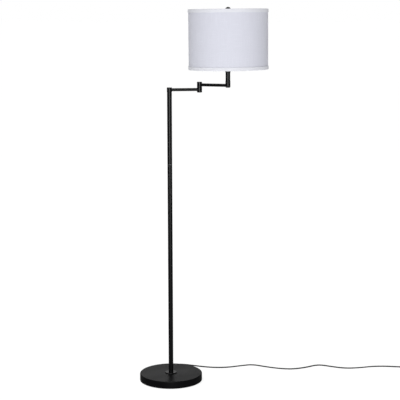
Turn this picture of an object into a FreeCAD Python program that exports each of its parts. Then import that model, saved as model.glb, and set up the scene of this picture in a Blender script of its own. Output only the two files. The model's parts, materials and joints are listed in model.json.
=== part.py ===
import FreeCAD, Part
import math
import os

# Floor lamp with a double swing arm and a drum shade, in millimetres, +Z up.
# The origin is on the floor on the pole's axis, and the arms reach towards +X.

Vector = FreeCAD.Vector
up = Vector(0, 0, 1)
origin = Vector(0, 0, 0)

# Fits
snug = 0.05             # radial play of pieces pressed or screwed together
running = 0.06          # radial play of a shaft that turns in a bore
face_gap = 0.1          # play between two faces that turn on each other

# Base: a spun steel cover over a cast-iron weight on a soft pad
base_radius = 127.0
base_height = 30.0
cover_wall = 1.2
cover_edge_radius = 3.0
skirt_lift = 1.5        # the skirt's lower edge above the floor
pad_thickness = 3.0
pad_inset = 4.0         # the pad's rim inside the cover's outside
weight_inset = 1.0      # play between the weight and the skirt
weight_web = 10.8       # iron left above the weight's pockets
weight_rim = 18.0       # width of the weight's outer rim
weight_boss_radius = 32.0
weight_rib = 12.0       # thickness of the ribs across the pocket
nut_well_radius = 22.0
nut_well_web = 9.0      # iron left above the nut
channel_width = 8.0
channel_depth = 9.0
foot_radius = 24.0
foot_thickness = 3.0
foot_edge = 1.2

# Hollow threaded rod and its hexagon nuts, used at the base, the joints and the shade's post
rod_radius = 4.85
rod_bore = 3.3
nut_wall = 1.15         # metal between the rod and a nut's flats
nut_height = 3.5
rod_end = 1.0           # rod that shows past a nut
base_nut_wall = 2.65
base_washer_radius = 16.0
base_washer_thickness = 1.5
base_rod_engagement = 26.0

# Pole: equal tubes joined end to end
pole_radius = 9.5
pole_wall = 1.0
section_length = 285.8
section_count = 4
section_chamfer = 0.45
insert_length = 30.0
coupling_plug = 22.0
coupling_stud = 18.0
coupling_stud_radius = 6.2
coupling_bore = 3.6
head_plug = 24.0

# Swing arms
arm_radius = 6.0
arm_wall = 1.0
arm_length = 120.0      # from one turning axis to the next, the same for both arms
inner_arm_angle = 8.0   # degrees from +X at rest
outer_arm_angle = -22.0
tube_end_gap = 0.2      # from a hub's cavity to the end of the tube pressed into it
arm_bore = 4.8          # lead way from a hub's cavity into its tube
inner_arm_rise = 9.8    # inner arm's axis above the pole's top
arm_to_split = 9.2      # from each arm's axis to the plane between the arms

# Hubs at the turning axes
swivel_hub_wall = 2.7   # metal round a hub's cavity
elbow_hub_wall = 2.6
elbow_hub_height = 21.0
end_hub_radius = 9.9
end_hub_height = 27.3
end_hub_round = 4.5
nut_room = 0.47         # play between a nut's corners and the hub's cavity
hub_web = 3.0           # metal between a hub's cavity and its turning face
hub_chamfer = 0.45
cap_thickness = 1.8
cap_spigot = 1.6
cap_chamfer = 0.8
dome_thickness = 3.0
dome_round = 2.4
friction_washer = 0.6
spring_washer = 0.7
spring_margin = 0.5     # a spring washer's rim outside the nut's flats
washer_margin = 1.0     # a washer's rim inside the hub's outside
over_pole_gap = 0.3     # the end hub's underside above the plane between the arms

# Post under the shade
post_radius = 9.2
post_wall = 1.6
post_length = 32.0
check_ring_radius = 10.3
check_ring_height = 7.0
check_ring_round = 1.2
rod_into_hub = 12.0
rod_into_socket = 1.5

# Harp, its saddle and the finial
harp_wire = 1.6
harp_foot = 26.6        # the harp's feet, from the shade's axis
harp_belly = 55.0       # half the harp's greatest width
# how far out, of the belly, and how high, of the harp: two points at the belly, then its shoulder and top
harp_shape = ((0.945, 0.36), (1.0, 0.62), (0.64, 0.86), (0.27, 1.0))
harp_straight_margin = 12.0  # straight wire above a raised ferrule
saddle_thickness = 1.2
saddle_width = 12.7
saddle_tab_height = 9.0
saddle_pin_height = 7.0
ferrule_radius = 3.1
ferrule_edge = 0.8
ferrule_length = 14.0
ferrule_lift = 9.0      # how far a ferrule slides up its wire
ferrule_play = 0.08
finial_radius = 11.5
finial_neck_radius = 5.0
finial_stud_radius = 3.1
finial_stud_length = 11.0
finial_sink = 3.0       # how far the ball's full round stands above the spider
stud_play = 0.2
harp_flange_radius = 7.0
harp_flange_thickness = 1.6
stud_grip_length = 6.4  # the harp stud's block that is pressed round the wire
stud_grip_width = 4.8
stud_grip_height = 4.2

# Lamp socket with a turn knob, and the bulb
cap_height = 15.0
cap_wall = 1.0
cap_round = 4.0
shell_overlap = 6.0
shell_wall = 0.8
shell_height = 50.0
sleeve_wall = 0.8
switch_body_height = 30.0
switch_body_chamfer = 2.6
bulb_play = 0.4         # between the bulb's base and the screw shell
screw_shell_wall = 0.5
switch_body_margin = 0.35   # the switch body's side outside the screw shell
screw_shell_height = 24.0
contact_radius = 4.0
contact_height = 2.2
knob_shaft_radius = 2.0
knob_rise = 20.0        # knob's axis above the socket cap's floor
knob_reach = 26.0       # outer end of the knob, from the socket's outside
knob_length = 13.0
knob_radius = 5.0
knob_half_grip = 2.2    # half the thickness between the knob's two flats
knob_edge = 1.5
bulb_radius = 30.0
bulb_length = 106.0
bulb_base_radius = 13.0
bulb_base_height = 22.0
bulb_tip_radius = 4.5
bulb_wall = 1.0
bulb_neck_margin = 0.3
bulb_neck_rise = 16.0   # from the metal base to where the globe starts

# Drum shade
shade_radius = 155.0
shade_height = 233.6
shade_wall = 1.0
shade_gap = 4.4         # the shade's lower rim above the check ring
trim_height = 14.0
trim_wall = 0.7
trim_return = 7.0       # how far the trim turns in behind the rim
ring_wire = 1.25
spider_drop = 18.0
spider_shelf = 13.0     # level stretch of a spoke beside the rim
spider_slope = 15.0
spider_washer_radius = 13.0
spider_washer_thickness = 1.5
spoke_angles = (90.0, 210.0, 330.0)

# Mains lead: a flat twin lead, free from its strain relief to its plug
cord_width = 5.4
floor_gap = 0.05        # under the free lead
lead_radius = 2.2       # the same lead inside the lamp
lead_show = 0.8         # lead that shows past a hollow rod's end
lead_inset = 4.0        # where the lead straightens, past a tube's end
lead_sag = 0.4
lead_turn_rise = 17.6   # from the arm's axis to the top of the lead's turn into the post
exit_rise = 8.0
relief_flange = 6.5
relief_flange_thickness = 2.0
relief_flange_edge = 0.6
relief_flange_play = 0.2     # between the inner flange and the skirt
flange_pocket_play = 1.0     # round the inner flange, in the weight
flange_pocket_depth = 6.0
relief_neck = 5.0
relief_length = 22.0
relief_tip = 3.2
coil_turn_radius = 28.0
coil_layers = 2
coil_rows = 2
plug_length = 26.0
plug_width = 24.0
plug_height = 14.0
plug_round = 4.9
plug_relief_length = 24.0
plug_relief_root = 4.4
plug_relief_tip = 3.0
blade_spacing = 12.7
blade_width = 6.4
blade_thickness = 1.5
blade_length = 17.0
plug_tail = 20.0

# Sizes that follow
nut_flats = 2 * (rod_radius + nut_wall)
base_nut_flats = 2 * (rod_radius + base_nut_wall)
hub_cavity = nut_flats / math.sqrt(3) + nut_room
swivel_hub_radius = hub_cavity + swivel_hub_wall
elbow_hub_radius = hub_cavity + elbow_hub_wall
arm_stop = hub_cavity + tube_end_gap
screw_shell_radius = bulb_base_radius + bulb_play + screw_shell_wall
switch_body_radius = screw_shell_radius + switch_body_margin
sleeve_radius = switch_body_radius + snug + sleeve_wall
shell_radius = sleeve_radius + snug + shell_wall
cap_radius = shell_radius + snug + cap_wall

# Heights and places that follow
pad_top = pad_thickness
weight_top = base_height - cover_wall
pole_bottom = base_height + foot_thickness
pole_top = pole_bottom + section_count * section_length
pole_bore = pole_radius - pole_wall
swivel_rod_top = (pole_top + friction_washer + 2 * face_gap + hub_web + spring_washer + nut_height
                  + rod_end)
inner_arm_z = pole_top + inner_arm_rise
split_z = inner_arm_z + arm_to_split
outer_arm_z = split_z + arm_to_split
elbow_pin_top = (split_z + friction_washer / 2 + 2 * face_gap + hub_web + spring_washer + nut_height
                 + rod_end)
end_hub_bottom = split_z + over_pole_gap
end_hub_top = end_hub_bottom + end_hub_height
post_top = end_hub_top + post_length
check_ring_top = post_top + check_ring_height
saddle_top = check_ring_top + saddle_thickness
shade_bottom = check_ring_top + shade_gap
shade_top = shade_bottom + shade_height
spider_z = shade_top - spider_drop
harp_top = spider_z - harp_flange_thickness - harp_wire
elbow_x = arm_length * math.cos(math.radians(inner_arm_angle))
elbow_y = arm_length * math.sin(math.radians(inner_arm_angle))
shade_x = elbow_x + arm_length * math.cos(math.radians(outer_arm_angle))
shade_y = elbow_y + arm_length * math.sin(math.radians(outer_arm_angle))
cord_radius = cord_width / 2
floor_z = cord_radius + floor_gap


def cylinder(radius, low, high):
    return Part.makeCylinder(radius, high - low, Vector(0, 0, low))


def ring(outer, inner, low, high):
    return cylinder(outer, low, high).cut(cylinder(inner, low - 1, high + 1))


def hexagon(flats, low, high):
    corner = flats / math.sqrt(3)
    points = []
    for step in range(7):
        turn = math.radians(60 * step)
        points.append(Vector(corner * math.cos(turn), corner * math.sin(turn), low))
    return Part.Face(Part.makePolygon(points)).extrude(Vector(0, 0, high - low))


def turned(outline):
    # a closed outline of (radius, height) points, turned about Z
    points = [Vector(radius, 0, height) for radius, height in outline]
    return Part.Face(Part.makePolygon(points + points[:1])).revolve(origin, up, 360)


def circles(shape, places):
    # the circular edges with these (radius, height) values
    found = []
    for edge in shape.Edges:
        if isinstance(edge.Curve, Part.Circle):
            for radius, height in places:
                if abs(edge.Curve.Radius - radius) < 0.01 and abs(edge.Curve.Center.z - height) < 0.01:
                    found.append(edge)
    return found


def rounded(shape, size, places):
    return shape.makeFillet(size, circles(shape, places))


def chamfered(shape, size, places):
    return shape.makeChamfer(size, circles(shape, places))


def posed(shape, angle, x, y):
    moved = shape.copy()
    moved.rotate(origin, up, angle)
    moved.translate(Vector(x, y, 0))
    return moved


def turned_to(shape, direction, place):
    # a shape built along +Z at the origin, laid along a direction from a place
    moved = shape.copy()
    moved.Placement = FreeCAD.Placement(place, FreeCAD.Rotation(up, direction))
    return moved


def route_path(points):
    # straight runs joined by the largest tangent arcs that the runs allow
    edges = []
    radii = []
    start = points[0]
    for before, corner, after in zip(points, points[1:], points[2:]):
        back = (before - corner).normalize()
        onward = (after - corner).normalize()
        half_turn = (math.pi - back.getAngle(onward)) / 2
        reach = 0.45 * min((before - corner).Length, (after - corner).Length)
        radius = reach / math.tan(half_turn)
        inward = (back + onward).normalize()
        middle = corner + inward * (radius / math.cos(half_turn) - radius)
        arc_start = corner + back * reach
        arc_end = corner + onward * reach
        edges.append(Part.LineSegment(start, arc_start).toShape())
        edges.append(Part.Arc(arc_start, middle, arc_end).toShape())
        radii.append(radius)
        start = arc_end
    edges.append(Part.LineSegment(start, points[-1]).toShape())
    return Part.Wire(edges), radii


def wire_along(points, radius):
    path, radii = route_path(points)
    section = Part.Wire(Part.makeCircle(radius, points[0], points[1] - points[0]))
    return path.makePipeShell([section], True, False), path.Length, radii


def save(name, shape):
    shape.exportStep("parts/" + name + ".step")


def side_bore(radius, start, height, length):
    # a hole along +X from a distance out from the axis
    return Part.makeCylinder(radius, length, Vector(start, 0, height), Vector(1, 0, 0))


def make_base():
    cover = cylinder(base_radius, skirt_lift, base_height)
    cover = rounded(cover, cover_edge_radius, [(base_radius, base_height)])
    inside_radius = base_radius - cover_wall
    inside = cylinder(inside_radius, 0, weight_top)
    inside = rounded(inside, cover_edge_radius - cover_wall, [(inside_radius, weight_top)])
    cover = cover.cut(inside)
    cover = cover.cut(cylinder(rod_radius + snug, 0, base_height + 1))
    relief_hole = turned_to(cylinder(relief_neck + snug, 0, 20), Vector(0, 1, 0),
                            Vector(0, base_radius - 10, exit_rise))
    save("base_cover", cover.cut(relief_hole))

    weight_radius = inside_radius - weight_inset
    weight = cylinder(weight_radius, pad_top, weight_top)
    weight = rounded(weight, cover_edge_radius, [(weight_radius, weight_top)])
    pocket = ring(weight_radius - weight_rim, weight_boss_radius, pad_top - 1, weight_top - weight_web)
    for turn in (0, 60, 120):
        span = 2 * weight_radius
        rib = Part.makeBox(weight_rib, span, base_height, Vector(-weight_rib / 2, -weight_radius, 0))
        pocket = pocket.cut(posed(rib, turn, 0, 0))
    weight = weight.cut(pocket)
    well_top = weight_top - nut_well_web
    weight = weight.cut(cylinder(nut_well_radius, 0, well_top))
    weight = weight.cut(cylinder(rod_radius + snug, 0, base_height))
    weight = weight.cut(Part.makeBox(channel_width, weight_radius + 1, pad_top + channel_depth,
                                     Vector(-channel_width / 2, 0, 0)))
    flange_room = relief_flange + flange_pocket_play
    weight = weight.cut(Part.makeBox(2 * flange_room, flange_pocket_depth + 1, exit_rise + flange_room,
                                     Vector(-flange_room, weight_radius - flange_pocket_depth, 0)))
    save("base_weight", weight)
    save("base_pad", cylinder(base_radius - pad_inset, 0, pad_top))

    washer_low = well_top - base_washer_thickness
    nut_low = washer_low - nut_height
    save("base_washer", ring(base_washer_radius, rod_radius + snug, washer_low, well_top))
    nut = hexagon(base_nut_flats, nut_low, washer_low)
    save("base_nut", nut.cut(cylinder(rod_radius + snug, nut_low - 1, washer_low + 1)))
    rod_low = nut_low - rod_end
    save("base_rod", ring(rod_radius, rod_bore, rod_low, pole_bottom + base_rod_engagement))

    foot = ring(foot_radius, rod_radius + snug, base_height, pole_bottom)
    save("foot_disc", rounded(foot, foot_edge, [(foot_radius, pole_bottom)]))


def make_pole():
    inserts = []
    couplings = []
    fitted = pole_bore - snug
    for index in range(section_count):
        low = pole_bottom + index * section_length
        high = low + section_length
        tube = chamfered(cylinder(pole_radius, low, high), section_chamfer,
                         [(pole_radius, low), (pole_radius, high)])
        save("pole_section_%d" % (index + 1), tube.cut(cylinder(pole_bore, low - 1, high + 1)))
        thread = rod_radius if index == 0 else coupling_stud_radius
        inserts.append(ring(fitted, thread + snug, low, low + insert_length))
        if index + 1 < section_count:
            coupling = cylinder(fitted, high - coupling_plug, high)
            coupling = coupling.fuse(cylinder(coupling_stud_radius, high, high + coupling_stud))
            couplings.append(coupling.cut(cylinder(coupling_bore, low, high + section_length)))
    save("pole_inserts", Part.makeCompound(inserts))
    save("pole_couplings", Part.makeCompound(couplings))

    hub_floor = pole_top + friction_washer + face_gap
    spring_low = hub_floor + hub_web + face_gap
    nut_low = spring_low + spring_washer
    head = cylinder(fitted, pole_top - head_plug, pole_top)
    head = head.fuse(cylinder(rod_radius, pole_top - 1, swivel_rod_top))
    save("pole_head", head.cut(cylinder(rod_bore, pole_top - head_plug - 1, swivel_rod_top + 1)))
    washer_hole = rod_radius + snug
    save("swivel_washer", ring(pole_radius - washer_margin / 2, washer_hole, pole_top,
                               pole_top + friction_washer))
    save("swivel_spring", ring(nut_flats / 2 + spring_margin, washer_hole, spring_low, nut_low))
    nut = hexagon(nut_flats, nut_low, nut_low + nut_height)
    save("swivel_nut", nut.cut(cylinder(washer_hole, nut_low - 1, nut_low + nut_height + 1)))

    well_top = weight_top - nut_well_web
    lead_turn = well_top + nut_height
    lead_end = base_radius - cover_wall - relief_flange_thickness - relief_flange_play
    lead, length, radii = wire_along([Vector(0, lead_end, exit_rise), Vector(0, 0, exit_rise),
                                      Vector(0, 0, lead_turn)], lead_radius)
    rise = cylinder(lead_radius, lead_turn, swivel_rod_top + lead_show)
    save("lead_in_pole", lead.fuse(rise).removeSplitter())


def make_inner_arm():
    floor = pole_top + friction_washer + face_gap
    cap_low = split_z - over_pole_gap / 2 - cap_thickness
    hub = ring(swivel_hub_radius, rod_radius + running, floor, cap_low)
    hub = chamfered(hub, hub_chamfer, [(swivel_hub_radius, floor)])
    hub = hub.cut(cylinder(hub_cavity, floor + hub_web, cap_low + 1))
    hub = hub.cut(side_bore(arm_radius, arm_stop, inner_arm_z, swivel_hub_radius))
    hub = hub.cut(side_bore(arm_bore, 0, inner_arm_z, swivel_hub_radius))
    save("swivel_hub", posed(hub, inner_arm_angle, 0, 0))
    cap = cylinder(swivel_hub_radius, cap_low, cap_low + cap_thickness)
    cap = chamfered(cap, cap_chamfer, [(swivel_hub_radius, cap_low + cap_thickness)])
    cap = cap.fuse(cylinder(hub_cavity - snug, cap_low - cap_spigot, cap_low + 0.5))
    save("swivel_cap", cap)

    tube = side_bore(arm_radius, arm_stop, inner_arm_z, arm_length - 2 * arm_stop)
    tube = tube.cut(side_bore(arm_radius - arm_wall, 0, inner_arm_z, arm_length))
    save("inner_arm_tube", posed(tube, inner_arm_angle, 0, 0))

    # the lower half of the elbow, with its pin
    washer_low = split_z - friction_washer / 2
    bottom = split_z - elbow_hub_height
    dome_top = bottom + dome_thickness
    cavity_top = washer_low - hub_web
    lower = ring(elbow_hub_radius, rod_radius + snug, dome_top, washer_low)
    lower = lower.cut(cylinder(hub_cavity, dome_top - 1, cavity_top))
    back = posed(side_bore(arm_radius, arm_stop, inner_arm_z, elbow_hub_radius), 180, 0, 0)
    lower = lower.cut(back)
    lower = lower.cut(posed(side_bore(arm_bore, 0, inner_arm_z, elbow_hub_radius), 180, 0, 0))
    save("elbow_lower_hub", posed(lower, inner_arm_angle, elbow_x, elbow_y))
    dome = rounded(cylinder(elbow_hub_radius, bottom, dome_top), dome_round, [(elbow_hub_radius, bottom)])
    dome = dome.fuse(cylinder(hub_cavity - snug, dome_top - 0.5, dome_top + cap_spigot))
    save("elbow_dome", posed(dome, 0, elbow_x, elbow_y))

    lower_nut_low = cavity_top - nut_height
    spring_low = split_z + friction_washer / 2 + face_gap + hub_web + face_gap
    upper_nut_low = spring_low + spring_washer
    pin_low = lower_nut_low - rod_end
    save("elbow_pin", posed(ring(rod_radius, rod_bore, pin_low, elbow_pin_top), 0, elbow_x, elbow_y))
    nuts = []
    for low in (lower_nut_low, upper_nut_low):
        nut = hexagon(nut_flats, low, low + nut_height)
        nut = nut.cut(cylinder(rod_radius + snug, low - 1, low + nut_height + 1))
        nuts.append(posed(nut, inner_arm_angle, elbow_x, elbow_y))
    save("elbow_nuts", Part.makeCompound(nuts))
    washer = ring(elbow_hub_radius - washer_margin, rod_radius + snug, washer_low, washer_low + friction_washer)
    save("elbow_washer", posed(washer, 0, elbow_x, elbow_y))
    spring = ring(nut_flats / 2 + spring_margin, rod_radius + snug, spring_low, upper_nut_low)
    save("elbow_spring", posed(spring, 0, elbow_x, elbow_y))

    lead_low = pin_low - lead_radius - lead_show
    lead, length, radii = wire_along([
        Vector(rod_bore, 0, swivel_rod_top + lead_show + lead_radius),
        Vector(arm_stop + lead_inset, 0, inner_arm_z), Vector(arm_length / 2, 0, inner_arm_z),
        Vector(arm_length - arm_stop - lead_inset, 0, lead_low + lead_sag), Vector(arm_length, 0, lead_low),
        Vector(arm_length, 0, elbow_pin_top + lead_show)], lead_radius)
    save("lead_in_inner_arm", posed(lead, inner_arm_angle, 0, 0))


def make_outer_arm():
    # the upper half of the elbow
    low = split_z + friction_washer / 2 + face_gap
    cap_low = split_z + elbow_hub_height - cap_thickness
    upper = ring(elbow_hub_radius, rod_radius + running, low, cap_low)
    upper = upper.cut(cylinder(hub_cavity, low + hub_web, cap_low + 1))
    upper = upper.cut(side_bore(arm_radius, arm_stop, outer_arm_z, elbow_hub_radius))
    upper = upper.cut(side_bore(arm_bore, 0, outer_arm_z, elbow_hub_radius))
    save("elbow_upper_hub", posed(upper, outer_arm_angle, elbow_x, elbow_y))
    cap = cylinder(elbow_hub_radius, cap_low, cap_low + cap_thickness)
    cap = chamfered(cap, cap_chamfer, [(elbow_hub_radius, cap_low + cap_thickness)])
    cap = cap.fuse(cylinder(hub_cavity - snug, cap_low - cap_spigot, cap_low + 0.5))
    save("elbow_cap", posed(cap, 0, elbow_x, elbow_y))

    tube = side_bore(arm_radius, arm_stop, outer_arm_z, arm_length - 2 * arm_stop)
    tube = tube.cut(side_bore(arm_radius - arm_wall, 0, outer_arm_z, arm_length))
    save("outer_arm_tube", posed(tube, outer_arm_angle, elbow_x, elbow_y))

    # the hub at the arm's end, the hollow rod in it and the post's tube round the rod
    hub = rounded(cylinder(end_hub_radius, end_hub_bottom, end_hub_top), end_hub_round,
                  [(end_hub_radius, end_hub_bottom)])
    hub = chamfered(hub, end_hub_radius - post_radius, [(end_hub_radius, end_hub_top)])
    rod_low = end_hub_top - rod_into_hub
    hub = hub.cut(cylinder(rod_radius + snug, rod_low, end_hub_top + 1))
    hub = hub.cut(cylinder(rod_bore, outer_arm_z - arm_bore / 2, rod_low + 1))
    hub = hub.cut(posed(side_bore(arm_radius, arm_stop, outer_arm_z, end_hub_radius), 180, 0, 0))
    hub = hub.cut(posed(side_bore(arm_bore, 0, outer_arm_z, end_hub_radius), 180, 0, 0))
    save("end_hub", posed(hub, outer_arm_angle, shade_x, shade_y))
    rod_top = saddle_top + cap_wall + rod_into_socket
    save("post_rod", posed(ring(rod_radius, rod_bore, rod_low, rod_top), 0, shade_x, shade_y))
    post = ring(post_radius, post_radius - post_wall, end_hub_top, post_top)
    save("post_tube", posed(post, 0, shade_x, shade_y))
    check = ring(check_ring_radius, rod_radius + snug, post_top, check_ring_top)
    check = rounded(check, check_ring_round,
                    [(check_ring_radius, post_top), (check_ring_radius, check_ring_top)])
    save("check_ring", posed(check, 0, shade_x, shade_y))

    turn_top = outer_arm_z + lead_turn_rise
    lead, length, radii = wire_along([
        Vector(rod_bore, 0, elbow_pin_top + lead_show + lead_radius),
        Vector(arm_stop + lead_inset, 0, outer_arm_z), Vector(arm_length / 2, 0, outer_arm_z),
        Vector(arm_length, 0, outer_arm_z - 1), Vector(arm_length, 0, turn_top)], lead_radius)
    rise = cylinder(lead_radius, turn_top, rod_top)
    rise.translate(Vector(arm_length, 0, 0))
    lead = lead.fuse(rise).removeSplitter()
    save("lead_in_outer_arm", posed(lead, outer_arm_angle, elbow_x, elbow_y))


def at_shade(name, shape):
    save(name, posed(shape, 0, shade_x, shade_y))


def make_harp():
    half_width = saddle_width / 2
    tab = harp_wire * 2
    plate = Part.makeBox(2 * harp_foot + tab, saddle_width, saddle_thickness,
                         Vector(-harp_foot - tab / 2, -half_width, check_ring_top))
    pin_low = saddle_top + saddle_tab_height
    pin_top = pin_low + saddle_pin_height
    saddle = plate
    for side in (-1, 1):
        upright = Part.makeBox(tab, half_width, saddle_tab_height + 1,
                               Vector(side * harp_foot - tab / 2, -half_width / 2, saddle_top - 1))
        pin = cylinder(harp_wire, pin_low - 1, pin_top)
        pin.translate(Vector(side * harp_foot, 0, 0))
        saddle = saddle.fuse(upright).fuse(pin)
        ferrule = ring(ferrule_radius, harp_wire + ferrule_play, pin_low, pin_low + ferrule_length)
        ferrule = rounded(ferrule, ferrule_edge, [(ferrule_radius, pin_low + ferrule_length)])
        ferrule.translate(Vector(side * harp_foot, 0, 0))
        at_shade("harp_ferrule_left" if side < 0 else "harp_ferrule_right", ferrule)
    saddle = saddle.cut(cylinder(rod_radius + snug, check_ring_top - 1, saddle_top + 1))
    at_shade("harp_saddle", saddle.removeSplitter())

    straight_top = pin_low + ferrule_length + ferrule_lift + harp_straight_margin
    harp_height = harp_top - pin_top
    half = [(harp_foot, pin_top), (harp_foot, straight_top)]
    for out, rise in harp_shape:
        half.append((harp_belly * out, pin_top + harp_height * rise))
    outline = [Vector(-x, 0, z) for x, z in half] + [Vector(x, 0, z) for x, z in reversed(half)]
    harp, length, radii = wire_along(outline, harp_wire)
    at_shade("harp", harp)

    flange_low = harp_top + harp_wire
    stud = cylinder(harp_flange_radius, flange_low, spider_z)
    grip = Part.makeBox(stud_grip_length, stud_grip_width, stud_grip_height,
                        Vector(-stud_grip_length / 2, -stud_grip_width / 2, flange_low - stud_grip_height))
    groove = Part.makeCylinder(harp_wire + snug, 20, Vector(-10, 0, harp_top), Vector(1, 0, 0))
    stud = stud.fuse(grip).cut(groove)
    stud = stud.fuse(cylinder(finial_stud_radius, flange_low, spider_z + finial_stud_length))
    at_shade("harp_stud", stud.removeSplitter())

    seat = spider_z + spider_washer_thickness
    ball_z = spider_z + finial_radius + finial_sink
    ball = Part.makeSphere(finial_radius, Vector(0, 0, ball_z))
    neck = cylinder(finial_neck_radius, seat, ball_z)
    finial = ball.cut(cylinder(finial_radius, seat - 10, seat)).fuse(neck)
    bore = cylinder(finial_stud_radius + snug, seat - 1, spider_z + finial_stud_length + 1)
    at_shade("finial", finial.cut(bore).removeSplitter())


def make_socket():
    floor = saddle_top + cap_wall
    cap = rounded(cylinder(cap_radius, saddle_top, saddle_top + cap_height), cap_round,
                  [(cap_radius, saddle_top)])
    inside = rounded(cylinder(cap_radius - cap_wall, floor, saddle_top + cap_height + 1),
                     cap_round - cap_wall, [(cap_radius - cap_wall, floor)])
    cap = cap.cut(inside).cut(cylinder(rod_radius + snug, saddle_top - 1, floor + 1))
    at_shade("socket_cap", cap)

    shaft_z = floor + knob_rise
    toward_knob = Vector(0, -1, 0)
    shaft_hole = turned_to(cylinder(knob_shaft_radius + running, 0, 40), toward_knob,
                           Vector(0, 0, shaft_z))
    shell_low = saddle_top + cap_height - shell_overlap
    shell = ring(shell_radius, shell_radius - shell_wall, shell_low, shell_low + shell_height)
    at_shade("socket_shell", shell.cut(shaft_hole))
    sleeve = ring(sleeve_radius, sleeve_radius - sleeve_wall, shell_low - 3, shell_low + shell_height - 2)
    at_shade("socket_sleeve", sleeve.cut(shaft_hole))

    body_top = floor + switch_body_height
    body = cylinder(switch_body_radius, floor, body_top)
    body = chamfered(body, switch_body_chamfer, [(switch_body_radius, floor)])
    body = body.cut(cylinder(rod_radius + 1, floor - 1, floor + 3))
    at_shade("socket_switch_body", body.cut(shaft_hole))
    screw = ring(screw_shell_radius, screw_shell_radius - screw_shell_wall, body_top,
                 body_top + screw_shell_height)
    contact = cylinder(contact_radius, body_top, body_top + contact_height)
    at_shade("socket_contacts", Part.makeCompound([screw, contact]))

    knob_end = cap_radius + knob_reach
    shaft = cylinder(knob_shaft_radius, 6, knob_end - 2)
    grip = cylinder(knob_radius, knob_end - knob_length, knob_end)
    grip = rounded(grip, knob_edge, [(knob_radius, knob_end)])
    for side in (-1, 1):
        flat = Part.makeBox(2 * knob_radius, knob_radius, knob_length - 4,
                            Vector(-knob_radius, side * (knob_radius / 2 + knob_half_grip) - knob_radius / 2,
                                   knob_end - knob_length + 4))
        grip = grip.cut(flat)
    at_shade("switch_knob", turned_to(shaft.fuse(grip).removeSplitter(), toward_knob,
                                      Vector(0, 0, shaft_z)))

    tip = body_top + contact_height
    base_low = tip + 3
    base_top = base_low + bulb_base_height
    base = turned([(0, tip), (bulb_tip_radius, tip), (bulb_tip_radius + 1, tip + 1),
                   (bulb_base_radius - 1, base_low), (bulb_base_radius, base_low + 1.5),
                   (bulb_base_radius, base_top), (0, base_top)])
    at_shade("bulb_base", base)
    centre = tip + bulb_length - bulb_radius
    at_shade("bulb_envelope", bulb_globe(base_top, centre))


def bulb_globe(low, centre):
    # a neck that widens along two arcs into a round globe, hollow
    def outline(offset):
        radius = bulb_radius - offset
        neck = bulb_base_radius + bulb_neck_margin - offset
        start = low + offset
        neck_top = low + bulb_neck_rise
        cut_angle = math.radians(-38)
        join = Vector(radius * math.cos(cut_angle), 0, centre + radius * math.sin(cut_angle))
        middle = Vector(neck + 0.36 * (join.x - neck), 0, neck_top + 0.5 * (join.z - neck_top))
        top = Vector(0, 0, centre + radius)
        swell = Part.BSplineCurve()
        swell.interpolate([Vector(neck, 0, neck_top), middle, join],
                          InitialTangent=Vector(0, 0, 1),
                          FinalTangent=Vector(-math.sin(cut_angle), 0, math.cos(cut_angle)))
        edges = [
            Part.LineSegment(Vector(0, 0, start), Vector(neck, 0, start)).toShape(),
            Part.LineSegment(Vector(neck, 0, start), Vector(neck, 0, neck_top)).toShape(),
            swell.toShape(),
            Part.Arc(join, Vector(radius, 0, centre), top).toShape(),
            Part.LineSegment(top, Vector(0, 0, start)).toShape()]
        return Part.Face(Part.Wire(edges)).revolve(origin, up, 360)
    return outline(0).cut(outline(bulb_wall))


def make_shade():
    inner = shade_radius - shade_wall
    rim_cover = trim_wall
    drum_low = shade_bottom + rim_cover
    drum_high = shade_top - rim_cover
    at_shade("shade_drum", ring(shade_radius, inner, drum_low, drum_high))
    trims = []
    for rim, inward in ((shade_bottom, 1), (shade_top, -1)):
        outer_end = rim + inward * trim_height
        inner_end = rim + inward * trim_return
        under = rim + inward * rim_cover
        outside = shade_radius + snug + trim_wall
        inside = inner - snug - trim_wall
        trims.append(turned([
            (outside, rim), (outside, outer_end), (outside - trim_wall, outer_end),
            (outside - trim_wall, under), (inside + trim_wall, under), (inside + trim_wall, inner_end),
            (inside, inner_end), (inside, rim)]))
    at_shade("shade_trims", Part.makeCompound(trims))

    ring_radius = inner - trim_wall - 2 * snug - ring_wire
    ring_rise = rim_cover + ring_wire + 1
    bottom_ring = Part.makeTorus(ring_radius, ring_wire, Vector(0, 0, shade_bottom + ring_rise))
    at_shade("bottom_ring", bottom_ring)
    top_ring_z = shade_top - ring_rise
    frame = Part.makeTorus(ring_radius, ring_wire, Vector(0, 0, top_ring_z))
    hub_mid = spider_z + spider_washer_thickness / 2
    for angle in spoke_angles:
        turn = math.radians(angle)
        along = Vector(math.cos(turn), math.sin(turn), 0)
        points = [along * ring_radius + up * top_ring_z,
                  along * (ring_radius - spider_shelf) + up * top_ring_z,
                  along * (ring_radius - spider_shelf - spider_slope) + up * hub_mid,
                  along * (spider_washer_radius - 2) + up * hub_mid]
        spoke, length, radii = wire_along(points, ring_wire)
        frame = frame.fuse(spoke)
    washer = ring(spider_washer_radius, finial_stud_radius + stud_play, spider_z,
                  spider_z + spider_washer_thickness)
    below = cylinder(spider_washer_radius - 2, spider_z - 5, spider_z)
    above = cylinder(finial_radius, spider_z + spider_washer_thickness,
                     spider_z + spider_washer_thickness + 5)
    frame = frame.cut(below).cut(above).fuse(washer)
    frame = frame.cut(cylinder(finial_stud_radius + stud_play, spider_z - 5, spider_z + 5))
    at_shade("spider_frame", frame.removeSplitter())


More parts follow.
